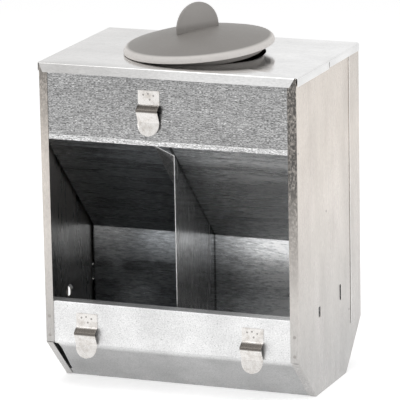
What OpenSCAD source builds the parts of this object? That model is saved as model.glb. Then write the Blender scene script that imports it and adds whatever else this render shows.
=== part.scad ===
// Two-place gravity feeder folded from thin galvanised sheet.
// Feed is filled through a round hole in the top, slides down a sloped sheet
// and a throat, and comes out in the trough at the bottom of two open places.
// Spring clips on the front hold the feeder to the wires of a cage.
//
// Frame: X to the right, Y to the back, Z up. The origin is on the floor, in
// the middle of the width and of the depth. Inside the modules, y is measured
// from the front wall, and from_front() moves it to the frame.

/* [Housing] */
// Width over the side panels
body_w = 240; // [200:1:320]
// Depth from the front flanges to the back panel
body_d = 161; // [140:1:200]
// Height from the floor to the top face
body_h = 295; // [270:1:380]
// Thickness of the galvanised sheet
sheet = 0.7; // [0.5:0.1:1.2]
// Inner radius of the folds
bend_r = 0.9; // [0.6:0.1:1.6]

/* [Side panels] */
// Height at which the front wall folds into the front chamfer
front_fold_h = 40.5; // [30:0.5:55]
// Distance from the front wall to the front end of the flat bottom
front_toe = 42; // [30:1:50]
// Height at which the back wall folds into the back chamfer
back_fold_h = 42.5; // [30:0.5:55]
// Distance from the back wall to the back end of the flat bottom
back_toe = 40; // [25:1:45]
// Width of the flanges turned in along the front edges
flange_w = 8; // [6:0.5:12]
// Width of the flanges turned in along the front chamfers
chamfer_flange_w = 7; // [5:0.5:10]
// Height and depth of the stiffening nib pressed in low on each side
nib_h = 11; // [8:0.5:14]
nib_depth = 3; // [2:0.1:4]
// Width of the nib and of the slit it leaves
nib_w = 4.5; // [3:0.5:7]
// Place of the nib behind the front wall and above the floor
nib_y = 53; // [40:1:60]
nib_z = 74.5; // [65:0.5:85]

/* [Front] */
// Height of the lower edge of the front band
band_bottom_h = 226.5; // [210:0.5:240]
// Height of the hem along the lower edge of the band
hem_h = 4.4; // [3:0.1:8]
// Height of the trough's front lip
sill_h = 79.5; // [70:0.5:90]
// Depth of the lip turned in along the trough's front
lip_w = 12; // [8:0.5:14]
// Set-back of the trough's left edge along the front chamfer
chamfer_gap = 3.2; // [0:0.1:4]

/* [Hopper] */
// Angle of the sloped sheet below the horizontal
slope_angle = 45.7; // [40:0.1:50]
// Distance from the front wall to the throat plate
throat_y = 107; // [100:0.5:112]
// Height of the throat's lower edge above the floor
throat_gap = 26; // [15:1:35]
// Depth of the edges that fix the hopper sheet to the sides
hopper_edge_w = 9; // [6:0.5:12]
// Outer radius of those edges' folds
hopper_edge_r = 2.0; // [1.5:0.1:3]
// Height of the tab that locks the throat in the side panel
tab_h = 13; // [8:0.5:16]
// Height of the tab's middle above the floor
tab_z = 78.5; // [70:0.5:90]

/* [Divider] */
// Set-back of the divider's front edge from the front wall
divider_setback = 15.5; // [15:0.5:25]
// Width of the flange that holds the divider to the slope
divider_flange_w = 14.2; // [10:0.2:18]

/* [Back panel] */
// Width of the edges wrapped forward over the side panels
back_wrap_w = 26.5; // [15:0.5:35]

/* [Top] */
// Height of the lips turned down around the top
top_lip_h = 8; // [6:0.5:12]
// Flare of the front lip from the vertical
lip_flare = 14; // [0:1:20]
// Length cut off each end of the front lip's lower edge
lip_mitre = 4.5; // [2:0.5:6]
// Diameter of the filler hole
filler_d = 118; // [100:1:130]

/* [Lid] */
// Diameter of the lid
lid_d = 134; // [125:1:145]
// Height of the lid's rim
lid_h = 6.2; // [5:0.1:9]
// Rounding of the rim
lid_round = 5; // [3:0.1:6]
// Rise of the lid's middle over its rim
lid_dome = 9.6; // [5:0.1:12]
// Wall of the moulding
lid_wall = 2.2; // [1.5:0.1:3]
// Clearance of the plug in the filler hole
plug_clear = 2; // [1.2:0.1:3]
// Depth of the plug under the rim
plug_h = 6; // [4:0.5:8]
// Tilt at which the loosely placed lid lies
lid_tilt = 4.2; // [0:0.1:4.5]
// Width, height and thickness of the half-round grip
grip_w = 45; // [36:1:50]
grip_h = 24; // [18:0.5:28]
grip_t = 2.6; // [2:0.1:4]
// Direction of the grip, turned from the X axis
grip_turn = 58; // [0:1:90]

/* [Wire clips] */
// Width of the clips
clip_w = 20; // [15:1:25]
// Thickness of the spring strip
clip_t = 0.8; // [0.6:0.1:1]
// Height of the foot welded to the housing
clip_foot_h = 12.5; // [10:0.5:15]
// Distance that the knee stands out, and its drop below the foot
clip_knee_out = 6.6; // [5:0.1:8]
clip_knee_drop = 4.7; // [3.5:0.1:6]
// Distance that the waist stands out, and its drop below the foot
clip_waist_out = 1.6; // [1:0.1:3]
clip_waist_drop = 15.6; // [13:0.1:18]
// Distance that the tip stands out, and its drop below the foot
clip_tip_out = 4.6; // [3:0.1:6]
clip_tip_drop = 27.6; // [27:0.1:31]
// Inner radius of the strip's bends
clip_bend_r = 0.7; // [0.5:0.1:1.2]
// Height of the top clip's foot, and its place from the middle
top_clip_z = 263.5; // [258:0.5:268]
top_clip_x = -16; // [-40:1:40]
// Height of the two lower clips' feet
low_clip_z = 57.5; // [53:0.5:62]
// Places of the two lower clips from the middle
left_clip_x = -80; // [-90:1:-60]
right_clip_x = 77; // [60:1:90]

/* [Hidden] */
$fn = 96;

eps = 0.01;
arc_steps = 5;               // flats in each folded corner
fold_r = bend_r + sheet;     // outer radius of the folds
moving_gap = 0.3;            // air between pieces that move past each other
seam = 0.1;                  // air left where two sheets meet at a fold
inner_w = body_w - 2 * sheet;
pan_half = inner_w / 2 - bend_r; // band and trough stop short of the panels' rounded folds
under_lip_z = body_h - sheet - bend_r - seam; // top of sheets that stand inside the top's folds
front_face = sheet;          // outer face of the band and trough, behind the flanges
back_inner = body_d - sheet; // inner face of the back panel
pan_toe = front_toe + 1.5 * sheet; // the trough's own front toe, behind the chamfer flanges
back_overlap = 12;           // height of the trough's back edge behind the back panel
slope_top_z = band_bottom_h + hem_h;
slope_top_y = front_face + sheet;
slope_drop = (throat_y - slope_top_y) * tan(slope_angle);
throat_top_z = slope_top_z - slope_drop;
slope_len = slope_drop / sin(slope_angle);
slope_lap = 11;              // height of the hopper sheet's edge behind the band
clip_tip_r = clip_w / 2;
lid_r = lid_d / 2;
plug_r = filler_d / 2 - plug_clear;
lid_high_side = [0.819, 0.574];                          // plan direction of the raised side
lid_seat_z = body_h + moving_gap + lid_r * sin(lid_tilt);
tab_slack = 0.8;
top_half_w = body_w / 2 + 2 * sheet + 2 * seam;          // outside the back panel's wraps

zinc = [0.76, 0.77, 0.77];
zinc_dark = [0.58, 0.60, 0.61];
spring_steel = [0.70, 0.68, 0.66];
grey_plastic = [0.58, 0.57, 0.55];

// ---- sheet metal helpers ------------------------------------------------

function unit(v) = v / norm(v);
function left_of(v) = [-v[1], v[0]];
function turned(v, a) = [v[0] * cos(a) - v[1] * sin(a), v[0] * sin(a) + v[1] * cos(a)];
function turn_angle(a, b) = atan2(a[0] * b[1] - a[1] * b[0], a[0] * b[0] + a[1] * b[1]);

// Point and left-hand normal along a rounded corner at p, from direction a to b
function corner(p, a, b, r) =
    let (turn = turn_angle(a, b), s = sign(turn),
         start = p - a * r * tan(abs(turn) / 2),
         centre = start + left_of(a) * r * s)
    [for (i = [0 : arc_steps])
        let (n = turned(left_of(a), turn * i / arc_steps))
        [centre - n * r * s, n]];

// Points and normals of a folded line. r holds one radius for each inner point.
function folded(path, r) =
    let (last = len(path) - 1, first_n = left_of(unit(path[1] - path[0])),
         last_n = left_of(unit(path[last] - path[last - 1])))
    concat([[path[0], first_n]],
           [for (i = [1 : 1 : last - 1])
               each corner(path[i], unit(path[i] - path[i - 1]),
                           unit(path[i + 1] - path[i]), r[i - 1])],
           [[path[last], last_n]]);

// Section of a folded strip, t thick on the left of its path
module folded_section(path, r, t) {
    q = folded(path, r);
    n = len(q);
    polygon(concat([for (i = [0 : n - 1]) q[i][0]],
                   [for (i = [n - 1 : -1 : 0]) q[i][0] + q[i][1] * t]));
}

// A (y, z) section drawn out along X, from x0 to x1
module along_x(x0, x1) {
    translate([x0, 0, 0]) rotate([90, 0, 90]) linear_extrude(x1 - x0) children();
}

module from_front() { translate([0, -body_d / 2, 0]) children(); }

// ---- side panels ----------------------------------------------------------

front_chamfer = [front_toe, -front_fold_h];
front_chamfer_len = norm(front_chamfer);
front_chamfer_angle = atan2(front_fold_h, front_toe);

// Outline of the side panel, from above its front fold and clear of its flange bends
module side_outline() {
    inset = fold_r;
    back_edge = back_inner - bend_r - seam;
    polygon([[inset, front_fold_h + inset * tan(front_chamfer_angle / 2)],
             [inset, body_h - sheet], [back_edge, body_h - sheet],
             [back_edge, back_fold_h - back_fold_h * (body_d - back_edge) / back_toe],
             [body_d - back_toe, 0],
             [front_toe + inset * tan(front_chamfer_angle / 2), 0],
             [front_toe + inset * tan(front_chamfer_angle / 2), inset]]);
}

// Section of a panel's edge with its flange: outer corner at the origin,
// the panel along +y and the flange along -x
module flange_section(w) {
    folded_section([[-w, 0], [0, 0], [0, fold_r + 1]], [fold_r], sheet);
}

// Bridge-shaped nib, pressed inwards out of the panel (towards -x)
module nib() {
    bow_r = (nib_h * nib_h / 4 + nib_depth * nib_depth) / (2 * nib_depth);
    root = sheet / 2;         // the nib's ends run this far into the panel
    translate([-sheet - nib_depth + bow_r, nib_y, nib_z]) rotate([-90, 0, 0])
        linear_extrude(nib_w, center = true)
            difference() {
                circle(bow_r);
                circle(bow_r - sheet);
                translate([nib_depth - bow_r + root, -bow_r - 1])
                    square(2 * bow_r + 2);
            }
}

// The right panel, with its outer face at x = 0
module side_panel() {
    difference() {
        translate([-sheet, 0, 0]) along_x(0, sheet) side_outline();
        // slit that the nib leaves
        translate([-sheet - 1, nib_y - nib_w / 2 - seam, nib_z - nib_h / 2 + sheet])
            cube([sheet + 2, nib_w + 2 * seam, nib_h - 2 * sheet]);
        // slot for the throat's tab
        translate([-sheet - 1, throat_y - tab_slack, tab_z - tab_h / 2 - tab_slack])
            cube([sheet + 2, sheet + 2 * tab_slack, tab_h + 2 * tab_slack]);
    }
    nib();
    // front flange, from the fold up to the top
    translate([0, 0, front_fold_h + 1])
        linear_extrude(under_lip_z - front_fold_h - 1) flange_section(flange_w);
    // chamfer flange, with a rounded lower end
    translate([0, 0, front_fold_h]) rotate([-(90 + front_chamfer_angle), 0, 0]) mirror([0, 1, 0])
        difference() {
            linear_extrude(front_chamfer_len) flange_section(chamfer_flange_w);
            translate([-chamfer_flange_w - eps, -1, front_chamfer_len + eps])
                rotate([-90, 0, 0]) linear_extrude(2 * fold_r + 4)
                    difference() {
                        square(chamfer_flange_w / 2);
                        translate([chamfer_flange_w / 2, chamfer_flange_w / 2])
                            circle(chamfer_flange_w / 2);
                    }
        }
}

module right_side_panel() {
    color(zinc) from_front() translate([body_w / 2, 0, 0]) side_panel();
}

module left_side_panel() {
    color(zinc) from_front() mirror([1, 0, 0]) translate([body_w / 2, 0, 0]) side_panel();
}

// ---- back and top -----------------------------------------------------------

module back_panel() {
    outer = body_w / 2 + sheet;
    color(zinc) from_front() translate([0, 0, back_fold_h])
        linear_extrude(under_lip_z - back_fold_h)
            folded_section([[outer, body_d - back_wrap_w], [outer, body_d],
                            [-outer, body_d], [-outer, body_d - back_wrap_w]],
                           [fold_r, fold_r], sheet);
}

// Lip along one side of the top, with a slit near its middle
module side_lip() {
    slit_w = 1.2;
    end_gap = 2;
    difference() {
        translate([top_half_w, end_gap, body_h]) rotate([90, 0, 180])
            linear_extrude(body_d - 2 * end_gap)
                folded_section([[fold_r + 1, 0], [0, 0], [0, -top_lip_h]], [fold_r], sheet);
        translate([top_half_w - sheet - 1, body_d / 2, body_h - top_lip_h - 1])
            cube([sheet + 2, slit_w, top_lip_h - 1]);
        // the stretch behind the slit is cut shorter
        translate([top_half_w - sheet - 1, body_d / 2, body_h - top_lip_h - 1])
            cube([sheet + 2, body_d, 2]);
    }
}

// Lip along the front of the top, with mitred ends
module front_lip() {
    drop = top_lip_h;
    run = drop * tan(lip_flare);
    half_w = body_w / 2 - 1;
    intersection() {
        along_x(-half_w, half_w)
            folded_section([[fold_r + 1, body_h], [-sheet, body_h], [-sheet - run, body_h - drop]],
                           [fold_r], sheet);
        translate([0, body_d / 2, 0]) rotate([90, 0, 0]) linear_extrude(body_d)
            polygon([[-half_w, body_h + 1], [-half_w, body_h - sheet],
                     [-half_w + lip_mitre, body_h - drop - 1],
                     [half_w - lip_mitre, body_h - drop - 1],
                     [half_w, body_h - sheet], [half_w, body_h + 1]]);
    }
}

module top_panel() {
    half_w = top_half_w - fold_r;
    color(zinc) from_front() {
        difference() {
            translate([-half_w, fold_r, body_h - sheet])
                cube([2 * half_w, body_d - fold_r, sheet]);
            translate([0, body_d / 2, body_h - sheet - 1]) cylinder(d = filler_d, h = sheet + 2);
        }
        front_lip();
        side_lip();
        mirror([1, 0, 0]) side_lip();
    }
}

// ---- front band, hopper, trough and divider ----------------------------------

module front_band() {
    hem_half = body_w / 2 - flange_w - 0.3;
    color(zinc_dark) from_front() {
        translate([-pan_half, front_face, band_bottom_h + sheet])
            cube([2 * pan_half, sheet, under_lip_z - band_bottom_h - sheet]);
        along_x(-hem_half, hem_half) {
            translate([0, band_bottom_h + sheet]) square([2 * sheet, hem_h - sheet]);
            translate([sheet, band_bottom_h + sheet]) circle(sheet);
        }
    }
}

// Edge along a hopper plate: a rounded fold and a flange that lies on the side panel.
// The plate's visible face is y = 0, and its edge runs along +z from the origin.
module hopper_edge(length) {
    linear_extrude(length)
        folded_section([[-hopper_edge_r - 1, 0], [0, 0], [0, hopper_edge_w]],
                       [hopper_edge_r], sheet);
}

module hopper_edges() {
    fold_clear = 1.5;     // room for the sheet's own fold
    tab_out = 0.6;        // the tab stands this far out of the side panel
    // along the slope
    translate([inner_w / 2, slope_top_y, slope_top_z])
        rotate([slope_angle - 180, 0, 0]) mirror([0, 1, 0])
            translate([0, 0, fold_clear]) hopper_edge(slope_len - fold_clear - hopper_edge_w);
    // along the throat
    translate([inner_w / 2, throat_y, throat_gap])
        hopper_edge(throat_top_z - throat_gap - fold_clear);
    // tab through the side panel
    translate([inner_w / 2 - sheet, throat_y, tab_z - tab_h / 2])
        cube([2 * sheet + tab_out, sheet, tab_h]);
}

module hopper_sheet() {
    plate_half = inner_w / 2 - hopper_edge_r - eps;
    color(zinc_dark) from_front() {
        along_x(-plate_half, plate_half)
            folded_section([[slope_top_y, slope_top_z + slope_lap], [slope_top_y, slope_top_z],
                            [throat_y, throat_top_z], [throat_y, throat_gap]],
                           [bend_r, fold_r], sheet);
        hopper_edges();
        mirror([1, 0, 0]) hopper_edges();
    }
}

// Outer face of the trough's section, from the lip round to the back panel
trough_path = [[front_face + lip_w, sill_h], [front_face, sill_h],
               [front_face, front_fold_h + 1.5], [pan_toe, 0],
               [body_d - back_toe - sheet, 0], [back_inner - seam, back_fold_h],
               [back_inner - seam, back_fold_h + back_overlap]];

module trough() {
    cut_x = flange_w + chamfer_gap;   // the cut's inner edge, from the side's outer face
    cut_low = 2;
    cut_high = front_fold_h - 1;
    cut_corner = 5;
    color(zinc) from_front() difference() {
        along_x(-pan_half, pan_half)
            folded_section(trough_path, [for (i = [1 : 5]) fold_r], sheet);
        // set-back of the left edge along the front chamfer
        translate([-body_w / 2, 0, 0]) rotate([90, 0, 0]) mirror([0, 0, 1])
            translate([0, 0, -1]) linear_extrude(front_toe - 4)
                polygon([[0, cut_low], [flange_w + 0.5, cut_low], [cut_x, cut_high - cut_corner],
                         [cut_x - 1, cut_high], [0, cut_high]]);
    }
}

// Height of the slope's visible face at a distance y behind the front wall
function slope_z(y) = slope_top_z - (y - slope_top_y) * tan(slope_angle);

module divider() {
    front_y = divider_setback;
    back_y = throat_y - seam;
    floor_z = sheet;
    chamfer_lift = sheet / cos(lean_in()) + 0.2;
    flange_back = 0.72 * slope_len;   // back ends of the flange and of its fold
    fold_back = 0.76 * slope_len;
    color(zinc) from_front() {
        // upright plate, below the slope and on the trough's floor
        along_x(0, sheet)
            polygon([[front_y, slope_z(front_y) - seam], [back_y, slope_z(back_y) - seam],
                     [back_y, floor_z], [pan_toe + 2, floor_z],
                     [front_y, (pan_toe + 2 - front_y) * tan(lean_in()) + chamfer_lift]]);
        // flange on the slope's face, its front end cut as the upright edge runs on
        translate([0, front_y, slope_z(front_y) - seam]) rotate([-slope_angle, 0, 0])
            translate([0, 0, -sheet]) linear_extrude(sheet)
                polygon([[sheet, 0], [0, 0],
                         [-divider_flange_w, -divider_flange_w * tan(slope_angle)],
                         [-divider_flange_w, flange_back], [0, fold_back], [sheet, fold_back]]);
    }
}

// Angle of the trough's front chamfer from the horizontal
function lean_in() = atan2(front_fold_h + 1.5, pan_toe - front_face);

// ---- lid ------------------------------------------------------------------

dome_r = lid_r - lid_round;   // radius at which the dome meets the rounded rim

// Height of the dome's outer face at a distance r from the lid's axis
function dome_z(r) = lid_h + lid_dome * (1 - pow(r / dome_r, 2));

// Area under the dome between two radii, sunk by a depth, down to a floor
module under_dome(r0, r1, sunk, floor_z) {
    steps = 6;
    polygon(concat([[r1, floor_z]], [[r0, floor_z]],
                   [for (i = [0 : steps])
                       let (r = r0 + (r1 - r0) * i / steps) [r, dome_z(r) - sunk]]));
}

// Section of the lid, from its axis to its rim, with z = 0 at the rim's lower edge
module lid_section() {
    rim_z = lid_h - lid_round;    // centre of the rim's rounding
    hollow_r = lid_r - lid_wall - 0.3 * lid_round;
    difference() {
        union() {
            under_dome(0, dome_r, 0, 0);
            square([lid_r, rim_z]);
            translate([dome_r, rim_z]) circle(lid_round);
        }
        translate([dome_r - lid_round, -lid_round]) square([2 * lid_round + 1, lid_round]);
        // hollows inside the rim and inside the plug
        translate([plug_r, -1]) square([hollow_r - plug_r, rim_z + 2]);
        under_dome(-1, plug_r - lid_wall, lid_wall, -1);
    }
    translate([plug_r - lid_wall, -plug_h]) square([lid_wall, plug_h + lid_h - lid_wall]);
}

module grip() {
    sink = 1;
    rotate([0, 0, grip_turn]) rotate([90, 0, 0]) linear_extrude(grip_t, center = true)
        intersection() {
            translate([0, grip_h - grip_w / 2]) circle(grip_w / 2);
            translate([-grip_w / 2, -sink]) square([grip_w, grip_h + sink]);
        }
}

module filler_lid() {
    tilt_axis = [lid_high_side[1], -lid_high_side[0], 0];
    color(grey_plastic) translate([0, 0, lid_seat_z]) rotate(a = lid_tilt, v = tilt_axis) {
        rotate_extrude() lid_section();
        translate([0, 0, lid_h + lid_dome]) grip();
    }
}

// ---- wire clips -------------------------------------------------------------

clip_face = [front_face, 0];     // back of the strip at the foot's lower end
clip_knee = clip_face + [-clip_knee_out, -clip_knee_drop];
clip_waist = clip_face + [-clip_waist_out, -clip_waist_drop];
clip_tip = clip_face + [-clip_tip_out, -clip_tip_drop];

module clip_foot(x, z) {
    color(spring_steel) from_front() translate([x - clip_w / 2, front_face - clip_t, z])
        cube([clip_w, clip_t, clip_foot_h]);
}

// The springing part of a clip: knee, waist and half-round tip
module clip_tongue(x, z) {
    root = clip_face + unit(clip_knee - clip_face) * (clip_t + moving_gap);
    color(spring_steel) from_front() translate([x, 0, z]) intersection() {
        along_x(-clip_w / 2, clip_w / 2)
            folded_section([clip_tip, clip_waist, clip_knee, root],
                           [clip_bend_r + clip_t, clip_bend_r], clip_t);
        rotate([90, 0, 0]) translate([0, 0, -clip_knee_out]) linear_extrude(3 * clip_knee_out)
            union() {
                translate([-clip_w / 2, clip_tip[1] + clip_tip_r])
                    square([clip_w, clip_tip_drop]);
                translate([0, clip_tip[1] + clip_tip_r]) circle(clip_tip_r);
            }
    }
}

module top_clip_foot() { clip_foot(top_clip_x, top_clip_z); }
module left_clip_foot() { clip_foot(left_clip_x, low_clip_z); }
module right_clip_foot() { clip_foot(right_clip_x, low_clip_z); }
module top_clip_tongue() { clip_tongue(top_clip_x, top_clip_z); }
module left_clip_tongue() { clip_tongue(left_clip_x, low_clip_z); }
module right_clip_tongue() { clip_tongue(right_clip_x, low_clip_z); }

left_side_panel();
right_side_panel();
back_panel();
top_panel();
front_band();
hopper_sheet();
trough();
divider();
filler_lid();
top_clip_foot();
left_clip_foot();
right_clip_foot();
top_clip_tongue();
left_clip_tongue();
right_clip_tongue();
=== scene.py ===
"""Looks of a two-place galvanised gravity feeder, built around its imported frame.

Every sheet-metal piece is dressed from its own frame mesh: welded, given softly
broken cut edges and smooth folds, and finished in galvanised zinc. The lid and the
spring clips are made here in full, and spot welds are scattered where sheets meet.
"""
import math

import bmesh
import bpy
from mathutils import Matrix, Vector


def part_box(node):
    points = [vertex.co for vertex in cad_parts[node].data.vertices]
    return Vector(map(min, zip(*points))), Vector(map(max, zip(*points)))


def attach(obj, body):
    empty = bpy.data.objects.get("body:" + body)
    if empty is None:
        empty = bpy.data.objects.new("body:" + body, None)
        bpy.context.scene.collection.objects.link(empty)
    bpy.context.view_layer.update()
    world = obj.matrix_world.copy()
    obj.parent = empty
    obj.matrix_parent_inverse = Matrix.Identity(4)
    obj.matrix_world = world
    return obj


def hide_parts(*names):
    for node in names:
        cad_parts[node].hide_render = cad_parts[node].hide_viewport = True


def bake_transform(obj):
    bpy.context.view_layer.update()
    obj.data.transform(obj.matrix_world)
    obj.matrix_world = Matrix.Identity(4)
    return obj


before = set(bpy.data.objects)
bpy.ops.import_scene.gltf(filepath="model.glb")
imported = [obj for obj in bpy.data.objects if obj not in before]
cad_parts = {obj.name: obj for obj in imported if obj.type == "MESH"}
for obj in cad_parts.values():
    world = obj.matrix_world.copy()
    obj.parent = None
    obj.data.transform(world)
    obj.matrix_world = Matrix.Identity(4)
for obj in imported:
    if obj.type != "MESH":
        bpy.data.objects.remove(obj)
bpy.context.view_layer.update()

MM = 0.001


# ---- sizes read from the frame ----------------------------------------------------

def low(node):
    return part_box(node)[0]


def high(node):
    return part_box(node)[1]


FRONT = low("right_side_panel").y          # outer face of the front flanges
HALF_W = high("right_side_panel").x
BAND_LOW = low("front_band").z
TOP_Z = high("top_panel").z


# ---- node trees ---------------------------------------------------------------------

class Finish:
    """One procedural material. Each helper adds a node and returns its output socket."""

    def __init__(self, name):
        self.material = bpy.data.materials.new(name)
        self.material.use_nodes = True
        self.tree = self.material.node_tree
        self.shader = self.tree.nodes["Principled BSDF"]
        self.place = self.node("ShaderNodeTexCoord").outputs["Object"]

    def node(self, kind, **settings):
        made = self.tree.nodes.new(kind)
        for key, value in settings.items():
            setattr(made, key, value)
        return made

    def plug(self, value, socket):
        if isinstance(value, bpy.types.NodeSocket):
            self.tree.links.new(value, socket)
        else:
            socket.default_value = value

    def set(self, **sockets):
        for name, value in sockets.items():
            self.plug(value, self.shader.inputs[name.replace("_", " ")])

    def stretched(self, scale, turn=(0, 0, 0)):
        mapping = self.node("ShaderNodeMapping")
        self.plug(self.place, mapping.inputs["Vector"])
        mapping.inputs["Scale"].default_value = scale
        mapping.inputs["Rotation"].default_value = turn
        return mapping.outputs["Vector"]

    def noise(self, size, stretch=(1, 1, 1), detail=2.0, rough=0.5, warp=0.0):
        """Smooth noise whose features are about size metres across."""
        made = self.node("ShaderNodeTexNoise")
        self.plug(self.stretched(stretch), made.inputs["Vector"])
        made.inputs["Scale"].default_value = 1 / size
        made.inputs["Detail"].default_value = detail
        made.inputs["Roughness"].default_value = rough
        made.inputs["Distortion"].default_value = warp
        return made.outputs["Fac"]

    def remap(self, value, from_low, from_high, to_low, to_high):
        made = self.node("ShaderNodeMapRange")
        self.plug(value, made.inputs["Value"])
        for name, number in (("From Min", from_low), ("From Max", from_high),
                             ("To Min", to_low), ("To Max", to_high)):
            self.plug(number, made.inputs[name])
        return made.outputs["Result"]

    def math(self, operation, a, b=0.0):
        made = self.node("ShaderNodeMath", operation=operation)
        self.plug(a, made.inputs[0])
        self.plug(b, made.inputs[1])
        return made.outputs["Value"]

    def blend(self, amount, a, b, mode="MIX"):
        made = self.node("ShaderNodeMix", data_type="RGBA", blend_type=mode)
        self.plug(amount, made.inputs["Factor"])
        self.plug(a, made.inputs[6])
        self.plug(b, made.inputs[7])
        return made.outputs[2]

    def coordinate(self, axis):
        made = self.node("ShaderNodeSeparateXYZ")
        self.plug(self.place, made.inputs["Vector"])
        return made.outputs[axis]

    def bump(self, height, strength, distance, under=None):
        made = self.node("ShaderNodeBump")
        made.inputs["Strength"].default_value = strength
        made.inputs["Distance"].default_value = distance
        self.plug(height, made.inputs["Height"])
        if under is not None:
            self.plug(under, made.inputs["Normal"])
        return made.outputs["Normal"]


def grey(level, warm=0.0):
    """A neutral colour, leaning warm (or cool, if negative)."""
    return (level * (1 + warm), level, level * (1 - warm), 1.0)


# ---- finishes -----------------------------------------------------------------------

def galvanised(name, tone, warm=0.0, grain=(1, 1, 1), contrast=0.25, speckle=1.6 * MM,
               rough=(0.22, 0.38), wave=0.35, painted_gradient=None, pits=0.3, painted_flange_reflection=False,
               streak=0.0, painted_joint_shade=False):
    """Galvanised sheet: zinc grain stretched along the rolling direction, faint clouds,
    dark pits, scuffs, and the slow waves of thin sheet.

    The gradient (axis, from, to, tone) paints light or shade as a tone running towards one end,
    streak bends the scratches, the flange switch paints a darker reflection, broken into
    speckles, on the upper part of the front flanges, and the joint switch paints shade along
    the lines where the hopper sheet meets the sides and the divider."""
    zinc = Finish(name)
    fine = zinc.noise(speckle, grain, detail=4, rough=0.7)
    scratch = zinc.noise(0.8 * MM, tuple(s ** 1.8 for s in grain), detail=3, rough=0.7,
                         warp=streak)
    broad = zinc.noise(28 * MM, grain, detail=2)
    cloud = zinc.noise(60 * MM, detail=3, warp=0.6)
    level = zinc.remap(fine, 0.36, 0.64, 1 - contrast, 1 + contrast)
    level = zinc.math("MULTIPLY", level, zinc.remap(scratch, 0.3, 0.72, 1 - contrast, 1 + contrast))
    level = zinc.math("MULTIPLY", level, zinc.remap(broad, 0.3, 0.7, 0.92, 1.08))
    level = zinc.math("MULTIPLY", level, zinc.remap(cloud, 0.3, 0.7, 0.96, 1.04))
    colour = grey(tone, warm)
    # painted light or shade: the colour runs to another tone towards one end
    if painted_gradient:
        axis, start, end, end_tone = painted_gradient
        amount = zinc.remap(zinc.coordinate(axis), start, end, 0, 1)
        colour = zinc.blend(amount, grey(tone, warm), grey(end_tone, warm * 0.2))
    colour = zinc.blend(1.0, colour, level, mode="MULTIPLY")
    pit = zinc.remap(zinc.noise(0.9 * MM, detail=2, rough=0.7), 0.64, 0.72, 0, pits)
    colour = zinc.blend(pit, colour, grey(0.10))
    if painted_flange_reflection:
        # painted dark reflection, broken into speckles: the right flange from mid-height up, the left
        # one near its top only
        at_front = zinc.remap(zinc.coordinate("Y"), FRONT + 1 * MM, FRONT + 1.6 * MM, 1, 0)
        right_high = zinc.remap(zinc.coordinate("Z"), 0.09, 0.20, 0.0, 1.0)
        left_high = zinc.remap(zinc.coordinate("Z"), 0.20, 0.28, 0.1, 0.8)
        on_right = zinc.remap(zinc.coordinate("X"), 0, 1 * MM, 0, 1)
        height = zinc.math("ADD", zinc.math("MULTIPLY", right_high, on_right),
                           zinc.math("MULTIPLY", left_high, zinc.math("SUBTRACT", 1.0, on_right)))
        spots = zinc.noise(1.4 * MM, (1, 1, 0.6), detail=4, rough=0.75)
        blotch = zinc.remap(spots, 0.32, 0.54, 0.35, 1.0)
        amount = zinc.math("MULTIPLY", zinc.math("MULTIPLY", at_front, height), blotch)
        colour = zinc.blend(amount, colour, grey(0.09, 0.05))
    if painted_joint_shade:
        # painted shade, nearly black, along the joints with the sides and the divider
        across = zinc.math("ABSOLUTE", zinc.coordinate("X"))
        at_side = zinc.remap(across, HALF_W - 3.4 * MM, HALF_W - 2.2 * MM, 0, 0.9)
        at_middle = zinc.remap(across, 1 * MM, 2 * MM, 0.8, 0)
        colour = zinc.blend(zinc.math("ADD", at_side, at_middle), colour, grey(0.02))
    zinc.set(Base_Color=colour, Metallic=1.0)
    scuff = zinc.noise(9 * MM, tuple(s * s for s in grain), detail=4, rough=0.7)
    zinc.set(Roughness=zinc.remap(scuff, 0.3, 0.7, rough[0], rough[1]))
    waves = zinc.bump(zinc.noise(60 * MM, detail=1), 1.0, wave * MM)
    zinc.set(Normal=zinc.bump(fine, 0.35, 0.05 * MM, under=waves))
    return zinc.material


def moulded_plastic():
    """Matte warm grey polypropylene with a fine moulded grain, faint pale marks, painted sheen on the
    rim and painted light on the top of the grip.
    """
    lid = Finish("moulded_grey")
    cloud = lid.noise(30 * MM, detail=3)
    dust = lid.noise(3 * MM, detail=4, rough=0.7)
    colour = lid.blend(cloud, (0.235, 0.220, 0.205, 1), (0.275, 0.260, 0.245, 1))
    # painted sheen makes the rim much paler than the top, and painted light the upper part of the
    # grip a little paler
    x, y, z = (lid.coordinate(axis) for axis in "XYZ")
    reach = lid.math("SQRT", lid.math("ADD", lid.math("MULTIPLY", x, x),
                                      lid.math("MULTIPLY", y, y)))
    rim_sheen = lid.remap(reach, LID_R - 5 * MM, LID_R - 2 * MM, 0, 0.9)
    colour = lid.blend(rim_sheen, colour, (0.78, 0.745, 0.715, 1))
    colour = lid.blend(lid.remap(dust, 0.55, 0.8, 0, 0.35), colour, (0.40, 0.385, 0.37, 1))
    # painted light: the upper part of the grip paler
    grip_top_light = lid.remap(z, TOP_Z + 23 * MM, TOP_Z + 27 * MM, 0, 0.8)
    colour = lid.blend(grip_top_light, colour, (0.37, 0.35, 0.335, 1))
    lid.set(Base_Color=colour, Roughness=lid.remap(dust, 0.3, 0.7, 0.42, 0.56))
    lid.set(Normal=lid.bump(lid.noise(0.5 * MM, detail=1), 0.2, 0.05 * MM))
    return lid.material


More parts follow.
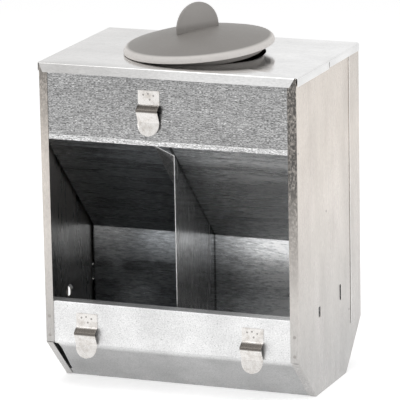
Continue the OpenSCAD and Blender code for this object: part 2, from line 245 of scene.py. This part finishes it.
def spring_strip():
    """Zinc-plated spring strip: bright, faintly brushed along its length, with warm stains and a
    painted dark reflection below the foot.
    """
    strip = Finish("spring_strip")
    brushed = strip.noise(1.2 * MM, (3.0, 0.6, 0.6), detail=3)
    stain = strip.noise(6 * MM, detail=3, rough=0.65)
    colour = strip.blend(strip.remap(stain, 0.45, 0.75, 0, 1), grey(0.72, 0.03), grey(0.50, 0.07))
    # painted dark reflection on the stretch between the foot and the knee
    along = strip.node("ShaderNodeAttribute", attribute_name="along").outputs["Fac"]
    below = strip.remap(along, 0.0, 1.2 * MM, 0, 1)
    above = strip.remap(along, 5.6 * MM, 6.6 * MM, 1, 0)
    colour = strip.blend(strip.math("MULTIPLY", below, above), colour, grey(0.13, 0.10))
    strip.set(Base_Color=colour, Metallic=1.0)
    strip.set(Roughness=strip.remap(brushed, 0.3, 0.7, 0.20, 0.34))
    strip.set(Normal=strip.bump(brushed, 0.3, 0.04 * MM))
    return strip.material


def weld_burn():
    """The grey-brown scale of a spot weld."""
    burn = Finish("weld_burn")
    patch = burn.noise(1.5 * MM, detail=3, rough=0.7)
    burn.set(Base_Color=burn.blend(patch, grey(0.20, 0.10), grey(0.48, 0.03)), Metallic=1.0)
    burn.set(Roughness=burn.remap(patch, 0.3, 0.7, 0.35, 0.6))
    burn.set(Normal=burn.bump(patch, 0.6, 0.1 * MM))
    return burn.material


def bare_edge():
    """The brighter, slightly ragged metal of a sheared edge."""
    cut = Finish("bare_edge")
    ragged = cut.noise(0.6 * MM, detail=3, rough=0.7)
    cut.set(Base_Color=cut.blend(ragged, grey(0.80), grey(0.98)), Metallic=1.0)
    cut.set(Roughness=cut.remap(ragged, 0.3, 0.7, 0.40, 0.60))
    cut.set(Normal=cut.bump(ragged, 0.4, 0.05 * MM))
    return cut.material


# ---- mesh helpers -------------------------------------------------------------------

def new_piece(name, mesh_builder, finish):
    """Turns a bmesh into a named piece with its finish."""
    mesh = bpy.data.meshes.new(name)
    mesh_builder.to_mesh(mesh)
    mesh_builder.free()
    mesh.materials.append(finish)
    piece = bpy.data.objects.new(name, mesh)
    bpy.context.scene.collection.objects.link(piece)
    return piece


def smooth_below(builder, degrees):
    """Smooth shading, broken at edges that turn by more than the given angle."""
    for face in builder.faces:
        face.smooth = True
    for e in builder.edges:
        if len(e.link_faces) == 2:
            e.smooth = e.calc_face_angle() < math.radians(degrees)


CUT_EDGE = 0.22 * MM          # width of the broken edges
FLAT = math.radians(0.5)      # faces this close are one flat
CUT = math.radians(40)        # edges sharper than this are cut edges, not folds


def dress(node, body, finish, sheared):
    """A welded copy of a frame mesh with broken cut edges and smooth folds."""
    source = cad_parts[node]
    copy = bmesh.new()
    copy.from_mesh(source.data)
    bmesh.ops.remove_doubles(copy, verts=copy.verts, dist=1e-6)
    bmesh.ops.dissolve_limit(copy, angle_limit=FLAT, verts=copy.verts, edges=copy.edges)
    cut_edges = [e for e in copy.edges if len(e.link_faces) == 2 and e.calc_face_angle() > CUT]
    bmesh.ops.bevel(copy, geom=cut_edges, offset=CUT_EDGE, segments=1, affect="EDGES",
                    profile=0.5, clamp_overlap=True, material=1)
    bmesh.ops.triangulate(copy, faces=copy.faces)
    smooth_below(copy, 30)
    piece = new_piece(node + "_sheet", copy, finish)
    piece.data.materials.append(sheared)
    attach(piece, body)
    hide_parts(node)
    return piece


def turned_shell(outline, segments):
    """A closed solid of revolution about +Z from an outline of (radius, height) points."""
    shell = bmesh.new()
    rings = []
    for radius, height in outline:
        if radius < 1e-7:
            rings.append([shell.verts.new((0, 0, height))])
            continue
        rings.append([shell.verts.new((radius * math.cos(2 * math.pi * k / segments),
                                       radius * math.sin(2 * math.pi * k / segments), height))
                      for k in range(segments)])
    for ring, following in zip(rings, rings[1:]):
        for k in range(segments):
            j = (k + 1) % segments
            corners = [ring[k % len(ring)], ring[j % len(ring)],
                       following[j % len(following)], following[k % len(following)]]
            shell.faces.new(list(dict.fromkeys(corners)))
    bmesh.ops.recalc_face_normals(shell, faces=shell.faces)
    return shell


def arc(centre, radius, start, end, steps):
    """Points on an arc from angle start to angle end, in degrees."""
    points = []
    for k in range(steps + 1):
        angle = math.radians(start + (end - start) * k / steps)
        points.append((centre[0] + radius * math.cos(angle), centre[1] + radius * math.sin(angle)))
    return points


# ---- lid ----------------------------------------------------------------------------

LID_R, LID_H, LID_ROUND, LID_DOME, LID_WALL = 67 * MM, 6.2 * MM, 5 * MM, 9.6 * MM, 2.2 * MM
PLUG_R, PLUG_H = 57 * MM, 6 * MM
GRIP_W, GRIP_H, GRIP_T, GRIP_SINK, GRIP_SOFT = 45 * MM, 24 * MM, 2.6 * MM, 1 * MM, 0.5 * MM
GRIP_TURN = math.radians(58)
LID_TILT = math.radians(4.2)
LID_HIGH_SIDE = Vector((0.819, 0.574, 0))
LID_SEAT = TOP_Z + 0.3 * MM + LID_R * math.sin(LID_TILT)


def dome_height(radius):
    return LID_H + LID_DOME * (1 - (radius / (LID_R - LID_ROUND)) ** 2)


def lid_outline():
    """Half section of the lid, from the middle of its top out, under the rim and back."""
    dome_r = LID_R - LID_ROUND
    lip = 0.6 * MM                      # rounding of the rim's lower edge
    inside = LID_R - LID_WALL - 0.3 * LID_ROUND
    under_rim = LID_H - LID_ROUND + 2 * MM
    bore = PLUG_R - LID_WALL
    steps = 16
    points = [(dome_r * k / steps, dome_height(dome_r * k / steps)) for k in range(steps)]
    points += arc((dome_r, LID_H - LID_ROUND), LID_ROUND, 90, 0, 8)
    points += arc((LID_R - lip, lip), lip, 0, -90, 4)
    points += [(inside + 0.2 * MM, 0), (inside, 0.3 * MM), (inside, under_rim - 1 * MM)]
    points += [(inside - 1 * MM, under_rim), (PLUG_R + 0.6 * MM, under_rim)]
    points += [(PLUG_R, under_rim - 0.6 * MM), (PLUG_R, 1 * MM - PLUG_H)]
    points += [(PLUG_R - 0.6 * MM, -PLUG_H), (bore + 0.4 * MM, -PLUG_H), (bore, 0.4 * MM - PLUG_H)]
    points += [(bore, dome_height(bore) - LID_WALL - 0.5 * MM)]
    points += [(bore * k / steps, dome_height(bore * k / steps) - LID_WALL)
               for k in range(steps - 1, -1, -1)]
    return points


def grip_outline():
    """Half-round outline of the grip, standing on y = 0 and let into the dome."""
    radius = GRIP_W / 2
    foot = math.degrees(math.asin((GRIP_H - radius + GRIP_SINK) / radius))
    return arc((0, GRIP_H - radius), radius, -foot, 180 + foot, 40)


def make_lid(finish):
    lid = turned_shell(lid_outline(), 128)
    # the grip is a slab with softened edges, standing across the middle
    outline = grip_outline()
    crown = Vector((0, 0, dome_height(0)))
    stand = (Matrix.Translation(crown) @ Matrix.Rotation(GRIP_TURN, 4, "Z")
             @ Matrix.Rotation(math.pi / 2, 4, "X"))
    face, soft = GRIP_T / 2, GRIP_SOFT
    layers = ((-face, soft), (-face + soft * 0.3, soft * 0.3), (-face + soft, 0),
              (face - soft, 0), (face - soft * 0.3, soft * 0.3), (face, soft))
    rings = []
    for depth, inset in layers:
        shrink = 1 - inset / (GRIP_W / 2)
        rings.append([lid.verts.new(stand @ Vector((x * shrink, y * shrink, depth)))
                      for x, y in outline])
    grip_faces = [lid.faces.new(rings[0]), lid.faces.new(list(reversed(rings[-1])))]
    for a, b in zip(rings, rings[1:]):
        for k in range(len(outline)):
            j = (k + 1) % len(outline)
            grip_faces.append(lid.faces.new((a[k], a[j], b[j], b[k])))
    bmesh.ops.recalc_face_normals(lid, faces=grip_faces)
    smooth_below(lid, 35)
    axis = Vector((LID_HIGH_SIDE.y, -LID_HIGH_SIDE.x, 0))
    lid.transform(Matrix.Translation((0, 0, LID_SEAT)) @ Matrix.Rotation(LID_TILT, 4, axis))
    piece = new_piece("grey_lid", lid, finish)
    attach(piece, "lid")
    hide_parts("filler_lid")
    return piece


# ---- spring clips ---------------------------------------------------------------------

def rounded_path(points, radii, steps=5):
    """A 2-D path with its inner points rounded. Returns (point, left normal) pairs."""
    pairs = []
    vectors = [Vector(p) for p in points]
    for k, point in enumerate(vectors):
        if k in (0, len(vectors) - 1):
            ahead = (vectors[1] - point) if k == 0 else (point - vectors[k - 1])
            ahead.normalize()
            pairs.append((point, Vector((-ahead.y, ahead.x))))
            continue
        a = (point - vectors[k - 1]).normalized()
        b = (vectors[k + 1] - point).normalized()
        turn = math.atan2(a.x * b.y - a.y * b.x, a.dot(b))
        side = math.copysign(1, turn)
        radius = radii[k - 1]
        start = point - a * radius * math.tan(abs(turn) / 2)
        centre = start + Vector((-a.y, a.x)) * radius * side
        for step in range(steps + 1):
            angle = turn * step / steps
            left = Vector((-a.y, a.x))
            normal = Vector((left.x * math.cos(angle) - left.y * math.sin(angle),
                             left.x * math.sin(angle) + left.y * math.cos(angle)))
            pairs.append((centre - normal * radius * side, normal))
    return pairs


# Places on the strip, as (out, up) from the lower end of its foot
CLIP_KNEE, CLIP_WAIST = (-6.6 * MM, -4.7 * MM), (-1.6 * MM, -15.6 * MM)
CLIP_TIP = (-4.6 * MM, -27.6 * MM)
CLIP_BEND = 0.7 * MM          # inner radius of the bends


def make_clip(name, foot_node, tongue_node, finish):
    """One bent strip from its welded foot to its half-round tip."""
    foot_low, foot_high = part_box(foot_node)
    middle = (foot_low.x + foot_high.x) / 2
    half, thick, root_z = (foot_high.x - foot_low.x) / 2, foot_high.y - foot_low.y, foot_low.z
    face = foot_high.y
    foot_top = foot_high.z - root_z
    pairs = rounded_path([CLIP_TIP, CLIP_WAIST, CLIP_KNEE, (0, 0), (0, foot_top)],
                         [CLIP_BEND + thick, CLIP_BEND, CLIP_BEND + thick])
    # a station every millimetre or so, for the round tip
    stations = []
    for (a, na), (b, _) in zip(pairs, pairs[1:]):
        length = (b - a).length
        steps = max(1, int(length / (1.0 * MM)))
        stations += [(a.lerp(b, k / steps), na) for k in range(steps)]
    stations.append(pairs[-1])
    across = 12
    low_z = CLIP_TIP[1]
    rows_back, rows_front = [], []
    clip = bmesh.new()
    for point, normal in stations:
        up = min(point.y - low_z, half)
        width = math.sqrt(max(half ** 2 - (half - up) ** 2, (0.6 * MM) ** 2))
        for rows, lift in ((rows_back, 0), (rows_front, thick)):
            rows.append([clip.verts.new((middle + width * (2 * k / across - 1),
                                         face + point.x + normal.x * lift,
                                         root_z + point.y + normal.y * lift))
                         for k in range(across + 1)])
    for rows in (rows_back, rows_front):
        for r in range(len(rows) - 1):
            for k in range(across):
                clip.faces.new((rows[r][k], rows[r][k + 1], rows[r + 1][k + 1], rows[r + 1][k]))
    for r in range(len(rows_back) - 1):
        for k in (0, across):
            clip.faces.new((rows_back[r][k], rows_back[r + 1][k],
                            rows_front[r + 1][k], rows_front[r][k]))
    for r in (0, len(rows_back) - 1):
        for k in range(across):
            clip.faces.new((rows_back[r][k], rows_back[r][k + 1],
                            rows_front[r][k + 1], rows_front[r][k]))
    bmesh.ops.recalc_face_normals(clip, faces=clip.faces)
    rim = [e for e in clip.edges if e.calc_face_angle() > math.radians(60)]
    bmesh.ops.bevel(clip, geom=rim, offset=0.16 * MM, segments=2, affect="EDGES", profile=0.5,
                    clamp_overlap=True)
    smooth_below(clip, 35)
    along = clip.verts.layers.float.new("along")
    for v in clip.verts:                      # distance below the foot
        v[along] = root_z - v.co.z if v.co.y < face - 0.9 * thick else 0.0
    piece = new_piece(name, clip, finish)
    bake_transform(piece)
    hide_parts(foot_node, tongue_node)
    return piece


# ---- spot welds ---------------------------------------------------------------------------

FACING = {"side": (0, math.pi / 2, 0), "front": (math.pi / 2, 0, 0)}


def scatter_marks(name, body, marks, finish):
    """Low round weld marks, each (place, facing, radius), realised into one mesh."""
    rise = 0.12 * MM
    places = bpy.data.meshes.new(name + "_places")
    places.from_pydata([place for place, _, _ in marks], [], [])
    turn = places.attributes.new("turn", "FLOAT_VECTOR", "POINT")
    size = places.attributes.new("size", "FLOAT_VECTOR", "POINT")
    for k, (_, facing, radius) in enumerate(marks):
        turn.data[k].vector = FACING[facing]
        size.data[k].vector = (radius, radius, rise)
    holder = bpy.data.objects.new(name + "_places", places)
    bpy.context.scene.collection.objects.link(holder)
    tree = bpy.data.node_groups.new(name + "_scatter", "GeometryNodeTree")
    tree.interface.new_socket("Geometry", in_out="INPUT", socket_type="NodeSocketGeometry")
    tree.interface.new_socket("Geometry", in_out="OUTPUT", socket_type="NodeSocketGeometry")
    new, link = tree.nodes.new, tree.links.new
    start, end = new("NodeGroupInput"), new("NodeGroupOutput")
    mark = new("GeometryNodeMeshUVSphere")
    mark.inputs["Segments"].default_value, mark.inputs["Rings"].default_value = 24, 10
    mark.inputs["Radius"].default_value = 1
    spread = new("GeometryNodeInstanceOnPoints")
    link(start.outputs[0], spread.inputs["Points"])
    link(mark.outputs["Mesh"], spread.inputs["Instance"])
    for attribute, socket in (("turn", "Rotation"), ("size", "Scale")):
        read = new("GeometryNodeInputNamedAttribute")
        read.data_type = "FLOAT_VECTOR"
        read.inputs["Name"].default_value = attribute
        link(read.outputs["Attribute"], spread.inputs[socket])
    realise, paint = new("GeometryNodeRealizeInstances"), new("GeometryNodeSetMaterial")
    paint.inputs["Material"].default_value = finish
    link(spread.outputs["Instances"], realise.inputs["Geometry"])
    link(realise.outputs["Geometry"], paint.inputs["Geometry"])
    link(paint.outputs["Geometry"], end.inputs[0])
    scatter = holder.modifiers.new("scatter", "NODES")
    scatter.node_group = tree
    graph = bpy.context.evaluated_depsgraph_get()
    mesh = bpy.data.meshes.new_from_object(holder.evaluated_get(graph))
    holder.modifiers.remove(scatter)
    bpy.data.objects.remove(holder)
    piece = bpy.data.objects.new(name, mesh)
    bpy.context.scene.collection.objects.link(piece)
    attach(piece, body)
    return piece


def weld_places():
    """Where the sheets are welded: the sides, the flanges, and the clips' feet."""
    marks = []
    for x in (-HALF_W, HALF_W):
        for behind, z in ((4, 228), (73, 161), (130, 57)):
            marks.append(((x, FRONT + behind * MM, z * MM), "side", 1.1 * MM))
        for z in (65, 47.5):
            on_flange = math.copysign(HALF_W - 4 * MM, x)
            marks.append(((on_flange, FRONT, z * MM), "front", 1.5 * MM))
    for node in ("top_clip_foot", "left_clip_foot", "right_clip_foot"):
        corner = low(node)
        for across, up in ((5, 8.5), (9.5, 9.5), (14.5, 8), (11, 4.5)):
            spot = (corner.x + across * MM, corner.y, corner.z + up * MM)
            marks.append((spot, "front", 0.9 * MM))
    return marks


# ---- stage ----------------------------------------------------------------------------

def seen_directly(nodes, links, *rays):
    """1 for the named kinds of ray, and 0 for the rest."""
    path = nodes.new("ShaderNodeLightPath")
    value = path.outputs[rays[0]]
    for ray in rays[1:]:
        either = nodes.new("ShaderNodeMath")
        either.operation = "MAXIMUM"
        links.new(value, either.inputs[0])
        links.new(path.outputs[ray], either.inputs[1])
        value = either.outputs[0]
    return value


def scaled(nodes, links, value, rest, full):
    """Turns 0 to 1 into rest to full."""
    made = nodes.new("ShaderNodeMapRange")
    links.new(value, made.inputs["Value"])
    made.inputs["To Min"].default_value = rest
    made.inputs["To Max"].default_value = full
    return made.outputs["Result"]


def stage_floor():
    """A pale floor that shows white to the camera and in the metal, and keeps shadows."""
    bpy.ops.mesh.primitive_plane_add(size=60, location=(0, 0, -0.0002))
    floor = bpy.context.object
    floor.name = "studio_floor"
    pale = bpy.data.materials.new("pale_floor")
    pale.use_nodes = True
    nodes, links = pale.node_tree.nodes, pale.node_tree.links
    shader = nodes["Principled BSDF"]
    shader.inputs["Base Color"].default_value = (0.9, 0.9, 0.9, 1)
    shader.inputs["Roughness"].default_value = 0.9
    shader.inputs["Specular IOR Level"].default_value = 0.0
    shader.inputs["Emission Color"].default_value = (1, 1, 1, 1)
    seen = seen_directly(nodes, links, "Is Camera Ray", "Is Transmission Ray", "Is Glossy Ray")
    links.new(scaled(nodes, links, seen, 0.0, 0.5), shader.inputs["Emission Strength"])
    floor.data.materials.append(pale)


def soft_light(name, at, towards, size, power, colour=(1, 1, 1)):
    lamp = bpy.data.lights.new(name, "AREA")
    lamp.shape = "RECTANGLE"
    lamp.size, lamp.size_y = size
    lamp.energy = power
    lamp.color = colour
    holder = bpy.data.objects.new(name, lamp)
    holder.location = at
    holder.rotation_euler = (Vector(towards) - Vector(at)).to_track_quat("-Z", "Y").to_euler()
    bpy.context.scene.collection.objects.link(holder)
    return holder


def studio_world():
    world = bpy.data.worlds.new("studio")
    bpy.context.scene.world = world
    world.use_nodes = True
    nodes, links = world.node_tree.nodes, world.node_tree.links
    background = nodes["Background"]
    background.inputs["Color"].default_value = (1, 1, 1, 1)
    seen = seen_directly(nodes, links, "Is Camera Ray", "Is Transmission Ray", "Is Glossy Ray")
    links.new(scaled(nodes, links, seen, 0.45, 1.0), background.inputs["Strength"])


def camera():
    """A long lens, from the front right and a little above."""
    yaw, pitch, roll = math.radians(-21.84), math.radians(-13.79), math.radians(-1.093)
    ahead = Vector((math.sin(yaw) * math.cos(pitch), math.cos(yaw) * math.cos(pitch),
                    math.sin(pitch)))
    level = Vector((math.cos(yaw), -math.sin(yaw), 0))
    up = level.cross(ahead)
    right = math.cos(roll) * level + math.sin(roll) * up
    top = -math.sin(roll) * level + math.cos(roll) * up
    lens = bpy.data.cameras.new("camera")
    lens.sensor_width, lens.lens = 36, 355.93
    lens.clip_end = 50
    holder = bpy.data.objects.new("camera", lens)
    turn = Matrix((right, top, -ahead)).transposed().to_4x4()
    holder.matrix_world = Matrix.Translation((1.27020, -3.17452, 0.99978)) @ turn
    bpy.context.scene.collection.objects.link(holder)
    bpy.context.scene.camera = holder


# ---- put together -----------------------------------------------------------------------

# the sides and the back darken and cool towards the bottom as painted shade; the side flanges also
# get a painted dark reflection
side_zinc = galvanised("side_zinc", 0.62, warm=0.085, grain=(1, 1, 0.35), contrast=0.06, pits=0.35,
                       painted_gradient=("Z", 0.22, 0.02, 0.46), painted_flange_reflection=True)
back_zinc = galvanised("back_zinc", 0.60, warm=0.085, grain=(1, 1, 0.35), contrast=0.06, pits=0.2,
                       painted_gradient=("Z", 0.22, 0.02, 0.46))
# the top lightens towards the right: painted light, darker towards the left
top_zinc = galvanised("top_zinc", 0.60, warm=0.015, grain=(0.4, 1, 1), contrast=0.05, pits=0.1,
                      rough=(0.08, 0.17), painted_gradient=("X", -0.10, 0.08, 0.78))
# the band's low tone is painted shade, a darker reflection than the other sheets; its lowest 4.2 mm
# are lighter
band_zinc = galvanised("band_zinc", 0.34, grain=(0.34, 1, 1.3), contrast=0.80, speckle=0.7 * MM,
                       pits=0.9, streak=0.8,
                       painted_gradient=("Z", BAND_LOW + 4.6 * MM, BAND_LOW + 4.2 * MM, 0.62))
# the hopper's dark, cool tone is painted shade; on the right it brightens to a painted reflection,
# and its joints get painted shade
hopper_zinc = galvanised("hopper_zinc", 0.28, warm=-0.05, grain=(0.25, 1, 1), contrast=0.30,
                         rough=(0.20, 0.36), painted_gradient=("X", -0.01, 0.06, 1.0), painted_joint_shade=True)
divider_zinc = galvanised("divider_zinc", 0.55, grain=(1, 1, 0.25), contrast=0.30, rough=(0.16, 0.30))
# below about 40 mm the trough darkens: painted shade on the chamfer facing down under the body
trough_zinc = galvanised("trough_zinc", 0.74, grain=(0.8, 1, 1), contrast=0.12, speckle=1.0 * MM,
                         rough=(0.36, 0.52), pits=0.9, painted_gradient=("Z", 0.040, 0.036, 0.46))
sheared = bare_edge()

for node, finish, slot in (("left_side_panel", side_zinc, "galvanised_sheet"),
                           ("right_side_panel", side_zinc, "galvanised_sheet"),
                           ("back_panel", back_zinc, "galvanised_sheet"),
                           ("top_panel", top_zinc, "galvanised_top"),
                           ("front_band", band_zinc, "galvanised_band"),
                           ("hopper_sheet", hopper_zinc, "galvanised_inner"),
                           ("divider", divider_zinc, "galvanised_inner"),
                           ("trough", trough_zinc, "galvanised_trough")):
    dress(node, "housing", finish, sheared)
make_lid(moulded_plastic())
scatter_marks("spot_welds", "housing", weld_places(), weld_burn())
strip = spring_strip()
for place in ("top", "left", "right"):
    make_clip(place + "_clip", place + "_clip_foot",
              place + "_clip_tongue", strip)

stage_floor()
studio_world()
MIDDLE = (0, 0, 0.15)
soft_light("top_box", (-0.2, -0.3, 1.9), MIDDLE, (1.4, 1.4), 8)
soft_light("left_box", (-1.6, -1.2, 1.0), MIDDLE, (1.0, 1.2), 8)
soft_light("right_box", (1.8, -0.2, 0.9), MIDDLE, (0.9, 1.2), 9)
camera()
bpy.context.scene.view_settings.view_transform = "Standard"
